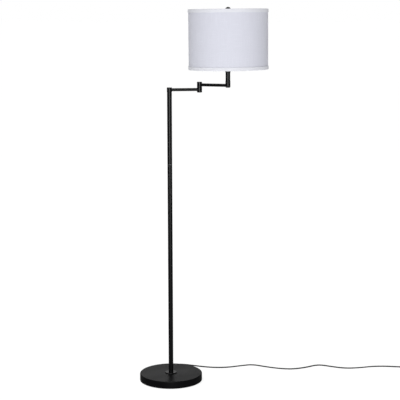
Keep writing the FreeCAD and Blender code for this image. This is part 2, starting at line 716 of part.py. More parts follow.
# The free lead's route on the floor, from the strain relief to the coil
exit_y = base_radius + relief_flange_thickness + relief_length
cord_route = [
    (0, exit_y, exit_rise), (0, exit_y + 14, exit_rise), (5, exit_y + 32, exit_rise - 2.6),
    (22, exit_y + 47, floor_z + 0.9), (49, exit_y + 48, floor_z), (83, 186, floor_z),
    (138, 163, floor_z), (189, 152, floor_z), (240, 157, floor_z), (291, 175, floor_z),
    (343, 189, floor_z), (393, 160, floor_z), (444, 138, floor_z), (505, 127, floor_z),
    (571, 150, floor_z), (624, 187, floor_z), (681, 161, floor_z), (735, 139, floor_z),
    (792, 146, floor_z), (848, 165, floor_z), (903, 168, floor_z), (949, 160, floor_z),
    (981, 155, floor_z), (1001, 153, floor_z)]
coil_place = Vector(1012, 122, 0)


def make_cord():
    # moulded strain relief through the skirt, along +Y
    skirt_inside = base_radius - cover_wall - relief_flange_play
    flange_end = base_radius + relief_flange_thickness
    relief = turned([
        (0, skirt_inside - relief_flange_thickness), (relief_flange, skirt_inside - relief_flange_thickness),
        (relief_flange, skirt_inside), (relief_neck, skirt_inside), (relief_neck, base_radius),
        (relief_flange, base_radius), (relief_flange, flange_end - relief_flange_edge), (relief_flange - relief_flange_edge, flange_end),
        (relief_neck, flange_end), (relief_tip, exit_y), (0, exit_y)])
    save("cord_strain_relief", turned_to(relief, Vector(0, 1, 0), Vector(0, 0, exit_rise)))

    points = [Vector(*point) for point in cord_route]
    cord, length, radii = wire_along(points, cord_radius)
    save("cord", cord)
    section = math.pi * cord_radius ** 2
    print("cord length", round(length), "volume over section times length",
          round(cord.Volume / (section * length), 4))
    print("cord arc radii", [round(radius) for radius in radii])

    # the coil: its turns' outer shape, and the short tail that leads to the plug
    half_width = coil_rows * cord_radius
    height = coil_layers * cord_width
    coil = ring(coil_turn_radius + half_width, coil_turn_radius - half_width, floor_gap, height + floor_gap)
    tail_x = coil_turn_radius + half_width - cord_radius / 2
    plug_z = plug_height / 2
    tail = Part.makeCylinder(cord_radius, plug_tail, Vector(tail_x, 0, plug_z), Vector(0, -1, 0))
    coil = coil.fuse(tail)
    coil.translate(coil_place)
    save("cord_coil", coil.removeSplitter())

    plug_start = coil_place + Vector(tail_x, -plug_tail, plug_z)
    relief = turned([(0, 0), (plug_relief_tip, 0), (plug_relief_root, plug_relief_length),
                     (0, plug_relief_length)])
    body = Part.makeBox(plug_width, plug_height, plug_length,
                        Vector(-plug_width / 2, -plug_height / 2, plug_relief_length))
    long_edges = [edge for edge in body.Edges if abs(edge.tangentAt(edge.FirstParameter).z) > 0.9]
    body = body.makeFillet(plug_round, long_edges)
    plug = turned_to(relief.fuse(body).removeSplitter(), Vector(0, -1, 0), plug_start)
    save("plug_body", plug)
    face_y = plug_start.y - plug_relief_length - plug_length
    blades = []
    for side in (-1, 1):
        blade = Part.makeBox(blade_thickness, blade_length, blade_width,
                             Vector(plug_start.x + side * blade_spacing / 2 - blade_thickness / 2,
                                    face_y - blade_length, plug_z - blade_width / 2))
        blades.append(blade)
    save("plug_blades", Part.makeCompound(blades))


os.makedirs("parts", exist_ok=True)
make_base()
make_pole()
make_inner_arm()
make_outer_arm()
make_harp()
make_socket()
make_shade()
make_cord()
print("pole top", round(pole_top, 1), "shade", round(shade_bottom, 1), "to", round(shade_top, 1),
      "shade axis", round(shade_x, 2), round(shade_y, 2))
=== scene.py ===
import bpy
import bmesh
import json
import math
from mathutils import Matrix, Vector

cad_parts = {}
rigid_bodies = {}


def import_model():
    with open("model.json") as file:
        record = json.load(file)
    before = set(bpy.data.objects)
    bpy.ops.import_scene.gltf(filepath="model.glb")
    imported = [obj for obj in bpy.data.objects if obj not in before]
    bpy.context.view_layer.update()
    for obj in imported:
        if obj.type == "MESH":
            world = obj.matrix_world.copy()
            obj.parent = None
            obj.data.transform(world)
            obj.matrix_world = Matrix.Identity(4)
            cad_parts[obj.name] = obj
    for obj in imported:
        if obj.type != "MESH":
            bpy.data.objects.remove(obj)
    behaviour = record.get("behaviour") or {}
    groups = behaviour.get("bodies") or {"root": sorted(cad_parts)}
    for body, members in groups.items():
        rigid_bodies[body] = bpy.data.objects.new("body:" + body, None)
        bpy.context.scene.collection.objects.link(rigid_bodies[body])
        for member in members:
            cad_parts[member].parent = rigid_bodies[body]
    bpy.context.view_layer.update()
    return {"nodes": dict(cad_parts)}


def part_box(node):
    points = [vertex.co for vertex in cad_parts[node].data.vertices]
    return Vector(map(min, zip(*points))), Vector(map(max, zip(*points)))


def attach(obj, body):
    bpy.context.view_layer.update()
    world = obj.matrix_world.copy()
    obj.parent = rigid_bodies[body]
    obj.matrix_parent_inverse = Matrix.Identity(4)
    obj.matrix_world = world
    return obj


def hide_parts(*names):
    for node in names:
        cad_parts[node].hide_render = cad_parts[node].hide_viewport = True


for leftover in list(bpy.data.objects):
    bpy.data.objects.remove(leftover)  # the start-up file's own objects

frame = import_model()
cadNodes = frame["nodes"]
scene = bpy.context.scene


def linearColour(code):
    channels = [int(code[at:at + 2], 16) / 255 for at in (1, 3, 5)]
    return tuple(c / 12.92 if c <= 0.04045 else ((c + 0.055) / 1.055) ** 2.4 for c in channels) + (1,)


def addNode(tree, kind, settings=None, links=None):
    # a link starts at a socket or at a node's first output; a number in its place is set on the input
    node = tree.nodes.new(kind)
    for name, value in (settings or {}).items():
        if isinstance(name, str) and hasattr(node, name):
            setattr(node, name, value)
        else:
            node.inputs[name].default_value = value
    for name, source in (links or {}).items():
        if isinstance(source, (int, float)):
            node.inputs[name].default_value = source
        else:
            start = source.outputs[0] if isinstance(source, bpy.types.Node) else source
            tree.links.new(start, node.inputs[name])
    return node


def millimetres(*values):
    return tuple(value / 1000 for value in values)


# the camera sees the lamp a little from above, from far off and through a long lens
eye = {"place": (0.120, -4.537, 1.460), "downTilt": 8.95, "roll": -0.10, "lens": 103.2, "sensor": 36.0,
       "farClip": 2000}
cameraData = bpy.data.cameras.new("studioCamera")
cameraData.lens = eye["lens"]
cameraData.sensor_width = eye["sensor"]
cameraData.clip_end = eye["farClip"]
camera = bpy.data.objects.new("studioCamera", cameraData)
scene.collection.objects.link(camera)
turn = (Matrix.Rotation(math.radians(90 - eye["downTilt"]), 3, "X")
        @ Matrix.Rotation(math.radians(eye["roll"]), 3, "Z"))
camera.rotation_euler = turn.to_euler()
camera.location = eye["place"]
scene.camera = camera
print("camera placed")


def meshPiece(name, points, faces, material=None, uvs=None, sharpAngle=40):
    mesh = bpy.data.meshes.new(name)
    mesh.from_pydata([tuple(point) for point in points], [], faces)
    if uvs:
        layer = mesh.uv_layers.new(name="UVMap")
        for loop in mesh.loops:
            layer.data[loop.index].uv = uvs[loop.index]
    mesh.polygons.foreach_set("use_smooth", [True] * len(mesh.polygons))
    mesh.set_sharp_from_angle(angle=math.radians(sharpAngle))
    piece = bpy.data.objects.new(name, mesh)
    scene.collection.objects.link(piece)
    if material:
        mesh.materials.append(material)
    return piece


# where most of a noise's values lie; finishes spread this span over their own
noiseSpan = {"From Min": 0.3, "From Max": 0.7}


def newFinish(name):
    material = bpy.data.materials.new(name)
    material.use_nodes = True
    tree = material.node_tree
    shader = next(node for node in tree.nodes if node.type == "BSDF_PRINCIPLED")
    return material, tree, shader


def dressShader(tree, shader, facts, mixedBy, relief, drift=None):
    # two close colours mixed by a pattern, a relief, and a roughness that drifts with another pattern
    tint = addNode(tree, "ShaderNodeMix", {"data_type": "RGBA", 6: linearColour(facts["colours"][0]),
                                           7: linearColour(facts["colours"][1])}, {0: mixedBy})
    tree.links.new(tint.outputs[2], shader.inputs["Base Color"])
    bump = addNode(tree, "ShaderNodeBump", {"Strength": 1.0, "Distance": facts["height"]},
                   {"Height": relief})
    tree.links.new(bump.outputs["Normal"], shader.inputs["Normal"])
    if drift:
        low, high = facts["roughness"]
        rough = addNode(tree, "ShaderNodeMapRange", {**noiseSpan, "To Min": low, "To Max": high},
                        {"Value": drift})
        tree.links.new(rough.outputs["Result"], shader.inputs["Roughness"])
    for socket, value in facts.items():
        if socket in shader.inputs:
            shader.inputs[socket].default_value = value


def mottledFinish(name, facts):
    # soft patches, and a fine grain in relief
    material, tree, shader = newFinish(name)
    place = addNode(tree, "ShaderNodeTexCoord").outputs["Object"]
    patches = addNode(tree, "ShaderNodeTexNoise", {"Scale": 1 / facts["patch"], "Detail": 3.0},
                      {"Vector": place})
    if facts.get("cells"):
        grain = addNode(tree, "ShaderNodeTexVoronoi", {"Scale": 1 / facts["grain"]}, {"Vector": place})
    else:
        grain = addNode(tree, "ShaderNodeTexNoise",
                        {"Scale": 1 / facts["grain"], "Detail": facts.get("detail", 1.0)},
                        {"Vector": place})
    dressShader(tree, shader, facts, patches, grain, patches)
    return material


# colours in sRGB; patch, grain and height in metres
finishes = {
    # powder coat on the spun base: a satin skin with a slight orange peel, ripples about 2 mm apart
    "powderCoatSatinBlack": {"colours": ("#060607", "#09090b"), "patch": 0.09, "roughness": (0.36, 0.43),
                             "grain": 0.002, "height": 0.000012, "Specular IOR Level": 0.1},
    # the same coat, sprayed thinner on tubes and turned hubs: a finer, drier skin with ripples of 1.2 mm
    "powderCoatFineBlack": {"colours": ("#070708", "#0b0b0c"), "patch": 0.07, "roughness": (0.27, 0.32),
                            "grain": 0.0012, "height": 0.000005, "Specular IOR Level": 0.21},
    # stoved enamel on a turned ball: wet-looking, almost no ripple
    "stovedEnamelGloss": {"colours": ("#070708", "#0a0a0b"), "patch": 0.02, "roughness": (0.2, 0.26),
                          "grain": 0.003, "height": 0.000004, "Specular IOR Level": 0.12},
    # bright bare steel in a thin band at a tube's screwed joint, a painted highlight for the light the joint's
    # edge catches: a thin grey gleam
    "jointHighlightSteel": {"colours": ("#7c7e80", "#929496"), "patch": 0.004, "roughness": (0.3, 0.42),
                        "grain": 0.0005, "height": 0.000006, "Metallic": 1.0},
    # grey iron as cast in sand: dull, pitted at about 1.5 mm
    "sandCastIron": {"colours": ("#4a4a49", "#5c5955"), "patch": 0.02, "roughness": (0.6, 0.75),
                     "grain": 0.0015, "height": 0.00018, "detail": 4.0, "Metallic": 0.7},
    # closed-cell foam sheet, split to thickness: matt, cells about 0.8 mm
    "splitFoamSheet": {"colours": ("#19191a", "#222223"), "patch": 0.01, "roughness": (0.85, 0.95),
                       "grain": 0.0008, "cells": True, "height": 0.00015},
    # bright zinc plate on turned steel: cool grey with a faint haze
    "zincPlatedSteel": {"colours": ("#b9bdc1", "#cfd1d0"), "patch": 0.004, "roughness": (0.28, 0.42),
                        "grain": 0.0004, "height": 0.000006, "Metallic": 1.0},
    # nickel plate over drawn wire: warmer than chrome, softly blurred by the drawing lines
    "nickelPlatedWire": {"colours": ("#bcb7ae", "#cbc6bd"), "patch": 0.006, "roughness": (0.2, 0.3),
                         "grain": 0.0006, "height": 0.000008, "Metallic": 1.0},
    # stamped nylon washers
    "stampedNylon": {"colours": ("#17171a", "#1d1d20"), "patch": 0.004, "roughness": (0.45, 0.55),
                     "grain": 0.0005, "height": 0.00001},
    # injection-moulded vinyl from a spark-eroded mould: fine matt grain of 0.4 mm
    "mouldedVinylBlack": {"colours": ("#101011", "#161617"), "patch": 0.02, "roughness": (0.48, 0.58),
                          "grain": 0.0004, "height": 0.00002, "Specular IOR Level": 0.4},
    # compression-moulded phenolic: dark, faintly brown, smooth from a polished mould
    "pressedPhenolic": {"colours": ("#120f0d", "#1c1815"), "patch": 0.006, "roughness": (0.28, 0.4),
                        "grain": 0.001, "height": 0.000006},
    # vulcanised fibre paper for the socket's sleeve: brown, fibrous, waxed
    "waxedFibrePaper": {"colours": ("#7d6445", "#94795a"), "patch": 0.003, "roughness": (0.55, 0.7),
                        "grain": 0.0007, "detail": 4.0, "height": 0.00003},
    # deep-drawn brass: yellow, with a soft tumbled shine
    "drawnBrass": {"colours": ("#c9a253", "#d8b566"), "patch": 0.008, "roughness": (0.22, 0.34),
                   "grain": 0.0006, "height": 0.000008, "Metallic": 1.0},
    # pressed aluminium screw cap of the bulb
    "pressedAluminium": {"colours": ("#c8c9cb", "#dadbdb"), "patch": 0.006, "roughness": (0.25, 0.36),
                         "grain": 0.0006, "height": 0.000008, "Metallic": 1.0},
    # blown glass, coated white inside: milky with a sharp gloss on top
    "coatedBulbGlass": {"colours": ("#f0efec", "#f6f5f2"), "patch": 0.03, "roughness": (0.32, 0.38),
                        "grain": 0.01, "height": 0.00001, "Coat Weight": 0.9, "Coat Roughness": 0.04,
                        "Subsurface Weight": 0.15, "Subsurface Scale": 0.004},
    # white enamel dipped on steel wire
    "dippedWhiteEnamel": {"colours": ("#e6e6e3", "#efefec"), "patch": 0.01, "roughness": (0.3, 0.42),
                          "grain": 0.0025, "height": 0.00003},
    # extruded styrene sheet that the fabric is glued to: white, even, slightly waxy
    "styreneSheet": {"colours": ("#efefec", "#f4f4f2"), "patch": 0.12, "roughness": (0.38, 0.46),
                     "grain": 0.006, "height": 0.00002, "Subsurface Weight": 0.1,
                     "Subsurface Scale": 0.002},
}
finish = {name: mottledFinish(name, facts) for name, facts in finishes.items()}

nodeFinish = {
    "powderCoatSatinBlack": ["base_cover"],
    "powderCoatFineBlack": ["foot_disc", "pole_section_1", "pole_section_2", "pole_section_3",
                            "pole_section_4",
                            "pole_head", "swivel_hub", "swivel_cap", "inner_arm_tube", "elbow_lower_hub",
                            "elbow_dome", "elbow_upper_hub", "elbow_cap", "outer_arm_tube", "end_hub",
                            "post_tube", "check_ring"],
    "stovedEnamelGloss": ["finial"],
    "sandCastIron": ["base_weight"],
    "splitFoamSheet": ["base_pad"],
    "zincPlatedSteel": ["base_rod", "base_washer", "base_nut", "pole_inserts", "pole_couplings",
                        "swivel_nut",
                        "swivel_spring", "elbow_pin", "elbow_nuts", "elbow_spring", "post_rod"],
    "nickelPlatedWire": ["harp", "harp_saddle", "harp_ferrule_left", "harp_ferrule_right", "harp_stud",
                         "plug_blades"],
    "stampedNylon": ["swivel_washer", "elbow_washer"],
    "mouldedVinylBlack": ["cord_strain_relief", "plug_body", "lead_in_pole", "lead_in_inner_arm",
                          "lead_in_outer_arm", "cord", "cord_coil"],
    "pressedPhenolic": ["socket_switch_body", "switch_knob"],
    "waxedFibrePaper": ["socket_sleeve"],
    "drawnBrass": ["socket_cap", "socket_shell", "socket_contacts"],
    "pressedAluminium": ["bulb_base"],
    "coatedBulbGlass": ["bulb_envelope"],
    "dippedWhiteEnamel": ["spider_frame", "bottom_ring"],
    "styreneSheet": ["shade_drum", "shade_trims"],
}
for name, nodes in nodeFinish.items():
    for node in nodes:
        for place in cadNodes[node].material_slots:
            place.material = finish[name]
unfinished = set(cadNodes) - {node for nodes in nodeFinish.values() for node in nodes}
print("finishes made, CAD nodes without one:", sorted(unfinished))


# the mains lead: a flat twin lead that lies on edge, waves over the floor and ends in a coil by its plug
lead = {
    "width": 0.0054, "core": 0.0014, "length": 1.85, "exit": millimetres(0, 151, 8),
    "route": [(0, 151, 8), (0, 165, 8), (5, 183, 5.4), (22, 198, 3.65), (49, 199, 2.75), (83, 186, 2.75),
              (138, 163, 2.75), (189, 152, 2.75), (240, 157, 2.75), (289, 177, 2.75), (341, 196, 2.75),
              (393, 166, 2.75), (444, 141, 2.75), (505, 127, 2.75), (569, 153, 2.75), (624, 194, 2.75),
              (681, 161, 2.75), (735, 139, 2.75), (792, 146, 2.75), (848, 165, 2.75), (903, 168, 2.75),
              (949, 160, 2.75), (981, 155, 2.75), (1001, 153, 2.75)],
    "coilPlace": (1012, 122), "turns": 4.25, "pointsPerTurn": 16,
    # each turn's radius and height: outside below, inside below, inside above, outside above
    "turnRadii": (30.9, 25.0, 25.4, 30.4, 31.6), "turnHeights": (2.75, 2.75, 8.15, 8.15, 8.15),
    "swapFrom": 0.72,  # the share of a turn after which it moves over to the next radius and height
    # the part turn at the end starts this far over, and takes this long
    "lastSwap": 0.4, "lastSwapTurn": 0.25,
    "tail": [(1044.05, 114, 7.4), (1044.05, 104, 7.0), (1044.05, 98, 7.0)],
    # how it leans from side to side: the most in degrees, metres to a radian of sway, and the start
    "sways": ((13, 0.083, 0), (7, 0.031, 1)), "swayGrows": 0.05, "swayFades": 0.06, "swayEnds": 1.06,
    "lineSteps": 10, "roundSteps": 10,
}


def coilTurns(facts):
    points = []
    count = facts["pointsPerTurn"]
    wholeTurns = int(facts["turns"])
    bulge = math.cos(math.pi / count)  # the smooth line runs inside its control points by this share
    centre = Vector(facts["coilPlace"] + (0,))
    for step in range(int(facts["turns"] * count) + 1):
        lap = min(step // count, len(facts["turnRadii"]) - 2)
        swap = max(0.0, min(1.0, (step / count - lap - facts["swapFrom"]) / (1 - facts["swapFrom"])))
        swap = swap * swap * (3 - 2 * swap)
        if step > wholeTurns * count:
            lap = wholeTurns - 1
            late = (step / count - wholeTurns) / facts["lastSwapTurn"]
            swap = min(1.0, facts["lastSwap"] + (1 - facts["lastSwap"]) * late)
        radius = facts["turnRadii"][lap] * (1 - swap) + facts["turnRadii"][lap + 1] * swap
        height = facts["turnHeights"][lap] * (1 - swap) + facts["turnHeights"][lap + 1] * swap
        angle = math.pi / 2 - 2 * math.pi * step / count
        points.append(centre + Vector((radius / bulge * math.cos(angle),
                                       radius / bulge * math.sin(angle), height)))
    return points


def smoothLine(name, controls):
    curve = bpy.data.curves.new(name, "CURVE")
    curve.dimensions = "3D"
    curve.resolution_u = lead["lineSteps"]
    spline = curve.splines.new("NURBS")
    spline.points.add(len(controls) - 1)
    for point, place in zip(spline.points, controls):
        point.co = (place[0], place[1], place[2], 1)
    spline.order_u = 3
    spline.use_endpoint_u = True
    holder = bpy.data.objects.new(name, curve)
    scene.collection.objects.link(holder)
    bpy.context.view_layer.update()
    line = bpy.data.meshes.new_from_object(holder.evaluated_get(bpy.context.evaluated_depsgraph_get()))
    points = [vertex.co.copy() for vertex in line.vertices]
    bpy.data.objects.remove(holder)
    bpy.data.meshes.remove(line)
    return points


def twinSection(core, centre):
    # two round cores joined by a thin web, as (across, up) pairs round the outline
    waist = math.atan2(centre, math.sqrt(core ** 2 - centre ** 2))
    outline = []
    for side in (1, -1):
        for step in range(lead["roundSteps"]):
            angle = -waist + (math.pi + 2 * waist) * step / (lead["roundSteps"] - 1)
            outline.append((side * core * math.cos(angle), side * (centre + core * math.sin(angle))))
    return outline


def tubeFaces(rings, count):
    # rings of count points joined one to the next, and closed at both ends
    faces = []
    for at in range(rings - 1):
        for side in range(count):
            after = (side + 1) % count
            faces.append((at * count + side, at * count + after,
                          (at + 1) * count + after, (at + 1) * count + side))
    faces.append(tuple(range(count - 1, -1, -1)))
    faces.append(tuple((rings - 1) * count + side for side in range(count)))
    return faces


def sweptLead(name, path, section, lean, material):
    points, uvs = [], []
    count = len(section)
    around = [0.0]
    for at in range(count):
        here, after = Vector(section[at]), Vector(section[(at + 1) % count])
        around.append(around[-1] + (after - here).length)
    along = [0.0]
    for here, after in zip(path, path[1:]):
        along.append(along[-1] + (after - here).length)
    for at, place in enumerate(path):
        ahead = (path[min(at + 1, len(path) - 1)] - path[max(at - 1, 0)]).normalized()
        across = ahead.cross(Vector((0, 0, 1))).normalized()
        top = across.cross(ahead)
        tilt = lean(along[at])
        for x, y in section:
            points.append(place + across * (x * math.cos(tilt) - y * math.sin(tilt))
                          + top * (x * math.sin(tilt) + y * math.cos(tilt)))
    for at in range(len(path) - 1):
        for side in range(count):
            uvs += [(along[at], around[side]), (along[at], around[side + 1]),
                    (along[at + 1], around[side + 1]), (along[at + 1], around[side])]
    uvs += [(0, 0)] * (2 * count)
    return meshPiece(name, points, tubeFaces(len(path), count), material, uvs)


def extrudedVinyl(name):
    # vinyl run through a die: satin black, with faint draw lines along it that show as a soft streak
    material, tree, shader = newFinish(name)
    facts = {"colours": ("#0b0b0c", "#111112"), "drawLine": 0.0003, "height": 0.00002,
             "lineStretch": 0.02, "scuffScale": 60.0, "roughness": (0.34, 0.5), "Specular IOR Level": 0.4}
    uv = addNode(tree, "ShaderNodeUVMap", {"uv_map": "UVMap"})
    parts = addNode(tree, "ShaderNodeSeparateXYZ", links={"Vector": uv})
    slow = addNode(tree, "ShaderNodeMath", {"operation": "MULTIPLY"}, {0: parts.outputs["X"],
                                                                       1: facts["lineStretch"]})
    lined = addNode(tree, "ShaderNodeCombineXYZ", links={"X": slow, "Y": parts.outputs["Y"]})
    lines = addNode(tree, "ShaderNodeTexNoise", {"Scale": 1 / facts["drawLine"], "Detail": 1.0},
                    {"Vector": lined})
    scuff = addNode(tree, "ShaderNodeTexNoise", {"Scale": facts["scuffScale"], "Detail": 3.0},
                    {"Vector": addNode(tree, "ShaderNodeTexCoord").outputs["Object"]})
    dressShader(tree, shader, facts, lines, lines, scuff)
    return material


def leadLean(distance):
    # it leans a few degrees each way as it wanders, and stands straight in its coil
    calm = max(0.0, min(1.0, (lead["swayEnds"] - distance) / lead["swayFades"]))
    calm *= min(1.0, distance / lead["swayGrows"])
    return calm * sum(math.radians(most) * math.sin(distance / reach + start) for most, reach,
                      start in lead["sways"])


controls = [Vector(millimetres(*point)) for point in lead["route"]]
controls += [point / 1000 for point in coilTurns(lead)]
controls += [Vector(millimetres(*point)) for point in lead["tail"]]
leadPath = smoothLine("leadLine", controls)
finish["extrudedVinyl"] = extrudedVinyl("extrudedVinyl")
mainsLead = sweptLead("mainsLead", leadPath, twinSection(lead["core"], lead["width"] / 2 - lead["core"]),
                      leadLean, finish["extrudedVinyl"])
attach(mainsLead, "stand")
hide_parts("cord", "cord_coil")
print("lead laid out,", len(leadPath), "points")


# what Geometry Nodes make: in each tree, known holds the inputs and then each step's result under a name

def newTree(name, inputs):
    tree = bpy.data.node_groups.new(name, "GeometryNodeTree")
    tree.interface.new_socket(name="Geometry", in_out="INPUT", socket_type="NodeSocketGeometry")
    for kind, labels in inputs.items():
        for label in labels:
            tree.interface.new_socket(name=label, in_out="INPUT", socket_type="NodeSocket" + kind)
    tree.interface.new_socket(name="Geometry", in_out="OUTPUT", socket_type="NodeSocketGeometry")
    return tree, {socket.name: socket for socket in tree.nodes.new("NodeGroupInput").outputs}


def flatGrid(tree, known):
    # a flat sheet to be bent; X and Y are then known as shares of it, from 0 to 1
    grid = addNode(tree, "GeometryNodeMeshGrid", {"Size X": 1.0, "Size Y": 1.0},
                   {"Vertices X": known["Columns"], "Vertices Y": known["Rows"]})
    flat = addNode(tree, "ShaderNodeSeparateXYZ", links={0: addNode(tree, "GeometryNodeInputPosition")})
    for axis in ("X", "Y"):
        known[axis] = addNode(tree, "ShaderNodeMath", {"operation": "ADD"}, {0: flat.outputs[axis], 1: 0.5})
    return grid


def bentRound(tree, known, grid, crosswise):
    # the sheet goes round the drum at its radius, angle and height; its UV map is its flat size in metres
    for name, part in (("east", "cosine"), ("north", "sine")):
        known[name] = addNode(tree, "ShaderNodeMath", {"operation": "MULTIPLY"},
                              {0: known["radius"], 1: known[part]})
    bent = addNode(tree, "ShaderNodeCombineXYZ", links={0: known["east"], 1: known["north"],
                                                        2: known["height"]})
    placed = addNode(tree, "ShaderNodeVectorMath", {"operation": "ADD"}, {0: bent, 1: known["Centre"]})
    unrolled = addNode(tree, "ShaderNodeCombineXYZ", links={0: known["distance"], 1: known[crosswise]})
    mapped = addNode(tree, "GeometryNodeStoreNamedAttribute",
                     {"data_type": "FLOAT2", "domain": "CORNER", "Name": "UVMap"},
                     {"Geometry": grid, "Value": unrolled})
    return addNode(tree, "GeometryNodeSetPosition", links={"Geometry": mapped, "Position": placed})


def closeTree(tree, known, geometry):
    whole = addNode(tree, "GeometryNodeRealizeInstances", links={"Geometry": geometry})
    dressed = addNode(tree, "GeometryNodeSetMaterial",
                      links={"Geometry": whole, "Material": known["Finish"]})
    addNode(tree, "NodeGroupOutput", links={"Geometry": dressed})
    return tree


def grownPiece(name, tree, values, sharpAngle=40):
    # the tree's result as a plain mesh; its helper object goes again
    seed = bpy.data.objects.new(name + "Seed", bpy.data.meshes.new(name + "Seed"))
    scene.collection.objects.link(seed)
    modifier = seed.modifiers.new("grow", "NODES")
    modifier.node_group = tree
    for item in tree.interface.items_tree:
        if item.item_type == "SOCKET" and item.in_out == "INPUT" and item.name in values:
            modifier[item.identifier] = values[item.name]
    bpy.context.view_layer.update()
    mesh = bpy.data.meshes.new_from_object(seed.evaluated_get(bpy.context.evaluated_depsgraph_get()))
    bpy.data.objects.remove(seed)
    mesh.name = name
    mesh.polygons.foreach_set("use_smooth", [True] * len(mesh.polygons))
    mesh.set_sharp_from_angle(angle=math.radians(sharpAngle))
    piece = bpy.data.objects.new(name, mesh)
    scene.collection.objects.link(piece)
    return piece


def thickened(piece, thickness, offset):
    wall = piece.modifiers.new("wall", "SOLIDIFY")
    wall.thickness = thickness
    wall.offset = offset
    wall.use_even_offset = True
    return piece


# strain reliefs: shares of the sleeve's length, and the spine's share of its turn as a cosine
ribs = {"straight": 0.95, "plainRoot": 0.06, "sharpness": 2.2, "spineFrom": 0.82, "spineTo": 0.93,
        "weld": 0.00002}


def ribbedTaperTree():
    # a sleeve turned about its axis: it tapers, with rounded ribs between grooves that stop at a spine on
    # each side, and past its straight share it turns in over the end, down to the bore
    tree, known = newTree("ribbedTaper", {
        "Float": ("Root", "Tip", "Length", "Groove", "Bore"), "Vector": ("Start",),
        "Int": ("Ribs", "Columns", "Rows"), "Material": ("Finish",)})
    grid = flatGrid(tree, known)
    known["share"] = addNode(tree, "ShaderNodeMath", {"operation": "DIVIDE", "use_clamp": True},
                             {0: known["Y"], 1: ribs["straight"]})
    for name, operation, *values in (
            ("angle", "MULTIPLY", "X", 2 * math.pi), ("cosine", "COSINE", "angle"), ("sine", "SINE", "angle"),
            ("facing", "ABSOLUTE", "cosine"), ("past", "SUBTRACT", "Y", ribs["straight"]),
            ("ending", "MAXIMUM", "past", 0.0), ("turnIn", "DIVIDE", "ending", 1 - ribs["straight"]),
            ("count", "MULTIPLY", "share", "Ribs"), ("phase", "MULTIPLY", "count", math.pi),
            ("swing", "SINE", "phase"), ("wave", "ABSOLUTE", "swing"), ("hollow", "SUBTRACT", 1.0, "wave"),
            ("notch", "POWER", "hollow", ribs["sharpness"]), ("deep", "MULTIPLY", "notch", "Groove")):
        known[name] = addNode(tree, "ShaderNodeMath", {"operation": operation},
                              {at: known.get(value, value) for at, value in enumerate(values)})
    known["taper"] = addNode(tree, "ShaderNodeMapRange", {},
                             {"Value": known["share"], "To Min": known["Root"], "To Max": known["Tip"]})
    known["beside"] = addNode(tree, "ShaderNodeMapRange", {
        "interpolation_type": "SMOOTHSTEP", "From Min": ribs["spineFrom"], "From Max": ribs["spineTo"],
        "To Min": 1.0, "To Max": 0.0}, {"Value": known["facing"]})
    known["inside"] = addNode(tree, "ShaderNodeMapRange", {"From Min": 0.0, "From Max": ribs["plainRoot"]},
                              {"Value": known["share"]})
    for name, operation, *values in (
            ("allowed", "MULTIPLY", "beside", "inside"), ("cut", "MULTIPLY", "deep", "allowed"),
            ("skin", "SUBTRACT", "taper", "cut")):
        known[name] = addNode(tree, "ShaderNodeMath", {"operation": operation},
                              {at: known[value] for at, value in enumerate(values)})
    known["radius"] = addNode(tree, "ShaderNodeMix", {"data_type": "FLOAT"},
                              {0: known["turnIn"], 2: known["skin"], 3: known["Bore"]})
    for name, operation, *values in (
            ("across", "MULTIPLY", "radius", "cosine"), ("along", "MULTIPLY", "share", "Length"),
            ("up", "MULTIPLY", "radius", "sine")):
        known[name] = addNode(tree, "ShaderNodeMath", {"operation": operation},
                              {at: known[value] for at, value in enumerate(values)})
    place = addNode(tree, "ShaderNodeCombineXYZ",
                    links={0: known["across"], 1: known["along"], 2: known["up"]})
    placed = addNode(tree, "ShaderNodeVectorMath", {"operation": "ADD"}, {0: place, 1: known["Start"]})
    sleeve = addNode(tree, "GeometryNodeSetPosition", links={"Geometry": grid, "Position": placed})
    joined = addNode(tree, "GeometryNodeMergeByDistance", {"Distance": ribs["weld"]}, {"Geometry": sleeve})
    return closeTree(tree, known, joined)


def gripRibsTree():
    # rows of half-round bars along Y, side by side in X, as the thumb grips on both faces of a plug
    tree, known = newTree("gripRibs", {
        "Float": ("Spacing", "Radius", "Length", "Rise"), "Vector": ("Middle",), "Int": ("Count",),
        "Material": ("Finish",)})
    bar = addNode(tree, "GeometryNodeMeshUVSphere", {"Segments": 12, "Rings": 8},
                  {"Radius": known["Radius"]})
    for name, operation, *values in (
            ("thick", "MULTIPLY", "Radius", 2.0), ("stretch", "DIVIDE", "Length", "thick"),
            ("gaps", "SUBTRACT", "Count", 1), ("wide", "MULTIPLY", "gaps", "Spacing"),
            ("half", "MULTIPLY", "wide", -0.5), ("above", "MULTIPLY", "Rise", 1),
            ("below", "MULTIPLY", "Rise", -1)):
        known[name] = addNode(tree, "ShaderNodeMath", {"operation": operation},
                              {at: known.get(value, value) for at, value in enumerate(values)})
    apart = addNode(tree, "ShaderNodeCombineXYZ", links={0: known["Spacing"]})
    line = addNode(tree, "GeometryNodeMeshLine", {"mode": "OFFSET"},
                   {"Count": known["Count"], "Offset": apart})
    first = addNode(tree, "ShaderNodeCombineXYZ", links={0: known["half"]})
    corner = addNode(tree, "ShaderNodeVectorMath", {"operation": "ADD"}, {0: first, 1: known["Middle"]})
    both = addNode(tree, "GeometryNodeJoinGeometry")
    for face in ("above", "below"):
        raised = addNode(tree, "ShaderNodeCombineXYZ", links={2: known[face]})
        start = addNode(tree, "ShaderNodeVectorMath", {"operation": "ADD"}, {0: corner, 1: raised})
        row = addNode(tree, "GeometryNodeSetPosition", links={"Geometry": line, "Offset": start})
        tree.links.new(row.outputs[0], both.inputs[0])
    shape = addNode(tree, "ShaderNodeCombineXYZ", links={0: 1.0, 1: known["stretch"], 2: 1.0})
    bars = addNode(tree, "GeometryNodeInstanceOnPoints",
                   links={"Points": both, "Instance": bar, "Scale": shape})
    return closeTree(tree, known, bars)


